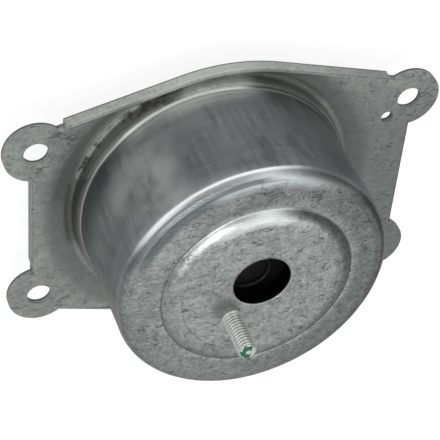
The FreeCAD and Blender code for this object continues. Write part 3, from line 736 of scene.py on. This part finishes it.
# %% Galvanised plate
EARS = ((-66.0, 32.2), (74.9, 31.5), (71.5, -40.8), (-64.8, -35.4))
PIP = (67.1, 24.15)
GAPS = ((-55.4, 20.7, -1, 1), (66.0, 19.8, 1, 1), (62.5, -27.8, 1, -1), (-58.0, -20.4, -1, -1))
plate_finish, tree, shader, place = material("galvanised_plate")
parts = add(tree, "SeparateXYZ", place).node
flat = add(tree, "VectorMath", place, (1.0, 1.0, 0.0), operation="MULTIPLY")
radius = add(tree, "VectorMath", flat, operation="LENGTH", out=1)
marks = use(tree, zinc_skin, Place=place, Cells=240.0)
facing = add(tree, "SeparateXYZ", add(tree, "NewGeometry", out=1)).node
upright = step(tree, maths(tree, "ABSOLUTE", facing.outputs[2]), 0.80, 0.45)
outer = step(tree, radius, 0.0542, 0.0550)
to_ear = None
for ear in EARS:
    away = add(tree, "VectorMath", flat, (ear[0] * MM, ear[1] * MM, 0.0), operation="DISTANCE", out=1)
    to_ear = away if to_ear is None else maths(tree, "MINIMUM", to_ear, away)
to_pip = add(tree, "VectorMath", flat, (PIP[0] * MM, PIP[1] * MM, 0.0), operation="DISTANCE", out=1)
lip = times(tree, upright, times(tree, outer, step(tree, to_ear, 0.0120, 0.0124)))
lip = times(tree, lip, step(tree, to_pip, 0.0026, 0.0030))
for x, y, side_x, side_y in GAPS:
    over_x = step(tree, times(tree, parts.outputs[0], side_x), x * side_x * MM, x * side_x * MM + 0.0001)
    over_y = step(tree, times(tree, parts.outputs[1], side_y), y * side_y * MM, y * side_y * MM + 0.0001)
    lip = times(tree, lip, off(tree, times(tree, over_x, over_y)))
sheared = times(tree, upright, most(tree, step(tree, to_ear, 0.0124, 0.0120),
                                    step(tree, to_pip, 0.0030, 0.0026)))
print("plate masks ready")

# %% [markdown]
# ### Dish, gutter and collar
# The dish has painted shade and is a little rougher, the plate has painted shade to the right of the can, the
# gutter has painted light towards the peak, and dirt and painted shade lie beside the can. The collar's top
# gets painted light: bright towards the peak, paler on the left and darker elsewhere.

# %% Plate: dish, gutter and collar
plate_tone = tone(tree, step(tree, marks["Mottle"], 0.32, 0.68), (0.35, 0.365, 0.355), (0.56, 0.58, 0.565))
dish = step(tree, radius, 0.0690, 0.0560)
way = add(tree, "VectorMath", flat, operation="NORMALIZE")
# Painted shade on the plate to the right of the can and in the dish.
shaded_right = times(tree, step(tree, parts.outputs[0], 0.030, 0.062), step(tree, parts.outputs[1], 0.050, 0.012))
plate_tone = blend(tree, times(tree, shaded_right, 0.6), plate_tone, (0.24, 0.25, 0.245, 1))
plate_tone = blend(tree, times(tree, dish, 0.55), plate_tone, (0.30, 0.303, 0.29, 1))
to_front = facing_way(tree, way, -0.42, 0.91, 0.72, 0.87)
lit_gutter = times(tree, to_front, step(tree, radius, 0.0572, 0.0560), 0.75)
gutter_tone = tone(tree, step(tree, marks["Mottle"], 0.34, 0.66), (0.44, 0.445, 0.43), (0.66, 0.665, 0.645))
plate_tone = blend(tree, lit_gutter, plate_tone, gutter_tone)
stain_noise = add(tree, "TexNoise", place, None, Scale=130.0, Detail=5.0, Roughness=0.65)
dirty = facing_way(tree, way, -0.80, 0.60, 0.55, 0.85)
stain = times(tree, step(tree, stain_noise, 0.50, 0.58), step(tree, radius, 0.0541, 0.0529))
stain = times(tree, stain, dirty)
plate_tone = blend(tree, times(tree, stain, 0.85), plate_tone, (0.03, 0.03, 0.028, 1))
# Painted shade on the right of the gutter and on a shoulder on the left.
shaded = times(tree, facing_way(tree, way, 0.52, 0.85, 0.92, 0.98), step(tree, radius, 0.0562, 0.0545), 0.55)
shoulder = times(tree, facing_way(tree, way, -0.85, 0.53, 0.86, 0.95),
                 step(tree, radius, 0.0540, 0.0555), step(tree, radius, 0.0625, 0.0595), 0.40)
shaded = most(tree, shaded, shoulder)
plate_tone = blend(tree, shaded, plate_tone, (0.13, 0.13, 0.125, 1))
off_front = off(tree, facing_way(tree, way, -0.02, 1.0, 0.95, 0.985))
hugging = amount(tree, facing_way(tree, way, -0.80, 0.60, 0.70, 0.88), 0.4, 0.75)
# Painted shade in the gutter on the left.
shaded_left_gutter = times(tree, facing_way(tree, way, -1.0, 0.0, 0.93, 0.99),
                    step(tree, radius, 0.0560, 0.0540), 0.9)
plate_tone = blend(tree, shaded_left_gutter, plate_tone, (0.13, 0.132, 0.128, 1))
# Dirt and painted shade: a dark band beside the collar, except in front.
beside = times(tree, step(tree, radius, 0.0527, 0.0520), off_front, hugging)
plate_tone = blend(tree, beside, plate_tone, (0.09, 0.09, 0.085, 1))
collar = times(tree, step(tree, parts.outputs[2], 0.0184, 0.0189), step(tree, radius, 0.0515, 0.0507))
# Painted light on the collar's top: bright towards the peak, paler on the left, darker elsewhere.
painted_collar_tone = blend(tree, facing_way(tree, way, *TO_LEFT), (0.42, 0.43, 0.42, 1), (0.58, 0.58, 0.56, 1))
bright = facing_way(tree, way, *TO_PEAK)
plate_tone = blend(tree, collar, plate_tone, blend(tree, bright, painted_collar_tone, (0.90, 0.90, 0.86, 1)))
print("plate dish ready")

# %% [markdown]
# ### Lips and edges
# The folded lip on the peak's side catches the most light, as painted light in its colour, with a painted
# highlight at the peak. Its free edge, and the lower half of each sheared edge, are dark lines; on the
# sheared edges it is painted shade.

# %% Plate: lips and edges
# Painted light on the lips that face the light.
lit_lip = times(tree, lip, step(tree, facing.outputs[1], 0.55, 0.85))
lit_lip = times(tree, lit_lip, step(tree, parts.outputs[0], 0.060, 0.030))
lit_lip_tone = tone(tree, step(tree, marks["Mottle"], 0.35, 0.65), (0.52, 0.535, 0.52), (0.72, 0.74, 0.72))
# Painted highlight on the lip at the peak.
lip_peak_highlight = times(tree, step(tree, parts.outputs[0], -0.026, -0.012),
             step(tree, parts.outputs[0], 0.022, 0.008), 0.5)
lit_lip_tone = blend(tree, lip_peak_highlight, lit_lip_tone, (0.86, 0.87, 0.85, 1))
plate_tone = blend(tree, lit_lip, plate_tone, lit_lip_tone)
free_edge = times(tree, lip, step(tree, parts.outputs[2], 0.0140, 0.0134))
plate_tone = blend(tree, times(tree, free_edge, 0.9), plate_tone, (0.08, 0.085, 0.08, 1))
# Painted shade on the lower half of each sheared edge.
shaded_low_edge = times(tree, sheared, step(tree, parts.outputs[2], 0.0168, 0.0160))
plate_tone = blend(tree, times(tree, shaded_low_edge, 0.85), plate_tone, (0.10, 0.105, 0.10, 1))
print("plate edges ready")

# %% Plate: folds, gloss and bump
dark = most(tree, marks["Folds"], times(tree, marks["Pits"], 0.8))
dark = times(tree, dark, amount(tree, most(tree, lit_lip, dish), 0.75, 0.22))
colour = blend(tree, dark, plate_tone, (0.15, 0.16, 0.155, 1))
rough = amount(tree, marks["Mottle"], 0.40, 0.56)
rough = amount(tree, stain, rough, 0.75)
rough = amount(tree, collar, rough, 0.26)
skin_height = times(tree, marks["Height"], off(tree, collar))
bump = add(tree, "Bump", 0.5, 0.00022, Height=skin_height)
soft = most(tree, lip, most(tree, sheared, times(tree, dish, 0.8)))
soft = times(tree, soft, off(tree, collar))
metal = amount(tree, soft, 1.0, 0.25)
metal = amount(tree, lit_gutter, metal, 0.1)
metal = amount(tree, times(tree, collar, bright), metal, 0.3)
feed(tree, shader, Base_Color=colour, Metallic=metal, Roughness=rough, Normal=bump)
print("finish:", plate_finish.name)

# %% [markdown]
# ## Finish of the stud
# Bright zinc plating, lighter on the crests and darker in the roots, with a dab of green paint on the tip, a
# mark made when the stud was tightened. The dab is a ring of paint, open on one side.

# %% Zinc stud
stud_finish, tree, shader, place = material("zinc_stud")
parts = add(tree, "SeparateXYZ", place).node
centred = add(tree, "VectorMath", place, (STUD_AT[0] * MM, STUD_AT[1] * MM, 0.0), operation="SUBTRACT")
flat = add(tree, "VectorMath", centred, (1.0, 1.0, 0.0), operation="MULTIPLY")
radius = add(tree, "VectorMath", flat, operation="LENGTH", out=1)
grain = add(tree, "TexNoise", place, None, Scale=900.0, Detail=3.0)
crest = step(tree, radius, (ROOT + 0.06) * MM, (CREST - 0.12) * MM)
on_tip = step(tree, parts.outputs[2], (STUD_TOP - 0.75) * MM, (STUD_TOP - 0.45) * MM)
crest = most(tree, crest, on_tip)
zinc = tone(tree, crest, (0.46, 0.47, 0.455), (0.97, 0.99, 0.97))
zinc = tinted(tree, zinc, amount(tree, grain, 0.86, 1.08))
flat_parts = add(tree, "SeparateXYZ", flat).node
wobble = times(tree, maths(tree, "SUBTRACT", grain, 0.5), 0.0016)
ring_line = maths(tree, "ABSOLUTE", maths(tree, "SUBTRACT", maths(tree, "ADD", radius, wobble), 0.00185))
dab = step(tree, ring_line, 0.00100, 0.00082)
open_side = maths(tree, "ADD", times(tree, flat_parts.outputs[0], 0.93),
                  times(tree, flat_parts.outputs[1], -0.15))
dab = times(tree, dab, step(tree, maths(tree, "ADD", open_side, wobble), 0.0011, 0.0008))
dab = times(tree, dab, on_tip)
colour = blend(tree, dab, zinc, (0.018, 0.19, 0.105, 1))
metal = amount(tree, dab, 0.60, 0.0)
rough = amount(tree, dab, amount(tree, grain, 0.32, 0.42), 0.55)
bump = add(tree, "Bump", 0.2, 0.00006, Height=grain)
feed(tree, shader, Base_Color=colour, Metallic=metal, Roughness=rough, Normal=bump)
stud.data.materials.append(stud_finish)
print("finish:", stud_finish.name)

# %% [markdown]
# ## What is inside
# From below one sees the cast core, the rubber and its ring; the vent shows a little of the
# diaphragm. Cast aluminium has a sandy grain, moulded rubber a fine matt skin with a grey bloom of
# dust, and the pressed-in rings are grey phosphated steel.


# %% Group for sandy and moulded grain
def fill_grain(tree, sockets):
    """Fine grain, its broad clouds, and a dust mask that grows on surfaces that look up."""
    where, size = sockets["Place"], sockets["Scale"]
    fine = add(tree, "TexNoise", where, None, Scale=size, Detail=5.0, Roughness=0.6)
    broad = add(tree, "TexNoise", where, None, Scale=times(tree, size, 0.07), Detail=3.0)
    up = add(tree, "SeparateXYZ", add(tree, "NewGeometry", out=1)).node.outputs[2]
    dust = times(tree, step(tree, up, -0.2, 0.9), step(tree, broad, 0.42, 0.66))
    return fine, broad, dust


grain_group = group("fine_grain", [("Place", "Vector", None), ("Scale", "Float", 900.0)],
                    ["Fine", "Broad", "Dust"], fill_grain)


def plain_finish(name, low, high, dusty, scale, metal, smooth, coarse, depth):
    """A material from the grain group: two tones, a dust tone, a roughness range and a bump depth."""
    made, tree, shader, place = material(name)
    grain = use(tree, grain_group, Place=place, Scale=scale)
    colour = tone(tree, step(tree, grain["Broad"], 0.35, 0.65), low, high)
    colour = blend(tree, times(tree, grain["Dust"], 0.5), colour, (*dusty, 1))
    colour = tinted(tree, colour, amount(tree, grain["Fine"], 0.8, 1.15))
    rough = amount(tree, grain["Fine"], smooth, coarse)
    bump = add(tree, "Bump", 0.6, depth, Height=grain["Fine"])
    feed(tree, shader, Base_Color=colour, Metallic=metal, Roughness=rough, Normal=bump)
    print("finish:", name)
    return made


# %% Inner finishes
cast = plain_finish("cast_aluminium", (0.50, 0.51, 0.51), (0.66, 0.67, 0.67), (0.40, 0.39, 0.36),
                    1300.0, 1.0, 0.42, 0.62, 0.00020)
spring = plain_finish("spring_rubber", (0.016, 0.016, 0.017), (0.028, 0.028, 0.028), (0.07, 0.068, 0.062),
                      1700.0, 0.0, 0.55, 0.75, 0.00010)
skin_rubber = plain_finish("diaphragm_rubber", (0.012, 0.012, 0.012), (0.022, 0.022, 0.022),
                           (0.03, 0.03, 0.028), 1500.0, 0.0, 0.34, 0.5, 0.00006)
phosphate = plain_finish("ring_steel", (0.20, 0.205, 0.205), (0.30, 0.305, 0.30), (0.26, 0.25, 0.23),
                         1100.0, 1.0, 0.42, 0.6, 0.00010)
finishes = {"mounting_plate": plate_finish, "inner_core": cast, "channel_plate_spring_side": cast,
            "channel_plate_diaphragm_side": cast, "rubber_spring": spring, "decoupler_membrane": skin_rubber,
            "diaphragm": skin_rubber, "spring_outer_ring": phosphate, "diaphragm_ring": phosphate}
for name, finish in finishes.items():
    slots = nodes[name].data.materials
    if len(slots) == 0:
        slots.append(finish)
    for turn in range(len(slots)):
        slots[turn] = finish
print("finished nodes:", len(finishes))
